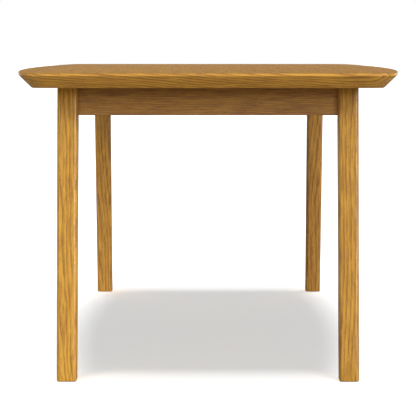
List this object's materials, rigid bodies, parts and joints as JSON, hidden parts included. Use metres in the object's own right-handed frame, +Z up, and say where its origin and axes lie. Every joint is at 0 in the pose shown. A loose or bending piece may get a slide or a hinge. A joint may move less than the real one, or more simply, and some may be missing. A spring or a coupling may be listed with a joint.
{
  "type": "dining table",
  "caption": "Dining table with a bowed, under-bevelled top on tapered legs with rounded corners that splay along its length, with rails between the legs.",
  "frame": {"origin": "on the floor, under the middle of the top", "axes": "+Z up, +Y along the table's length, +X across it; the pictured end faces -Y"},
  "size_m": [1.012, 1.8, 0.75],
  "materials": {
    "oak_face_veneer": "clear satin lacquer over long-grain oak veneer",
    "oak_back_veneer": "thin matt sealer over oak backing veneer",
    "core_board": "bare glued core board, hidden",
    "oak_lipping": "clear satin lacquer over solid oak",
    "oak_leg": "clear satin lacquer over solid oak",
    "oak_rail": "clear satin lacquer over solid oak",
    "beech_cross_rail": "thin matt sealer over planed beech",
    "zinc_bracket": "zinc plated folded sheet",
    "zinc_fastener": "zinc plated",
    "nylon_glide": "moulded brown nylon"
  },
  "bodies": {
    "root": {"back_veneer": "oak_back_veneer", "bolt_nuts": "zinc_fastener", "bolt_washers": "zinc_fastener", "corner_bracket_front_left": "zinc_bracket", "corner_bracket_front_right": "zinc_bracket", "corner_bracket_rear_left": "zinc_bracket", "corner_bracket_rear_right": "zinc_bracket", "cross_rail": "beech_cross_rail", "end_rail_front": "oak_rail", "end_rail_rear": "oak_rail", "face_veneer": "oak_face_veneer", "foot_glides": "nylon_glide", "hanger_bolts": "zinc_fastener", "leg_front_left": "oak_leg", "leg_front_right": "oak_leg", "leg_rear_left": "oak_leg", "leg_rear_right": "oak_leg", "lipping_front_end": "oak_lipping", "lipping_left_side": "oak_lipping", "lipping_rear_end": "oak_lipping", "lipping_right_side": "oak_lipping", "side_rail_left": "oak_rail", "side_rail_right": "oak_rail", "top_clips": "zinc_bracket", "top_core": "core_board"}
  },
  "joints": []
}
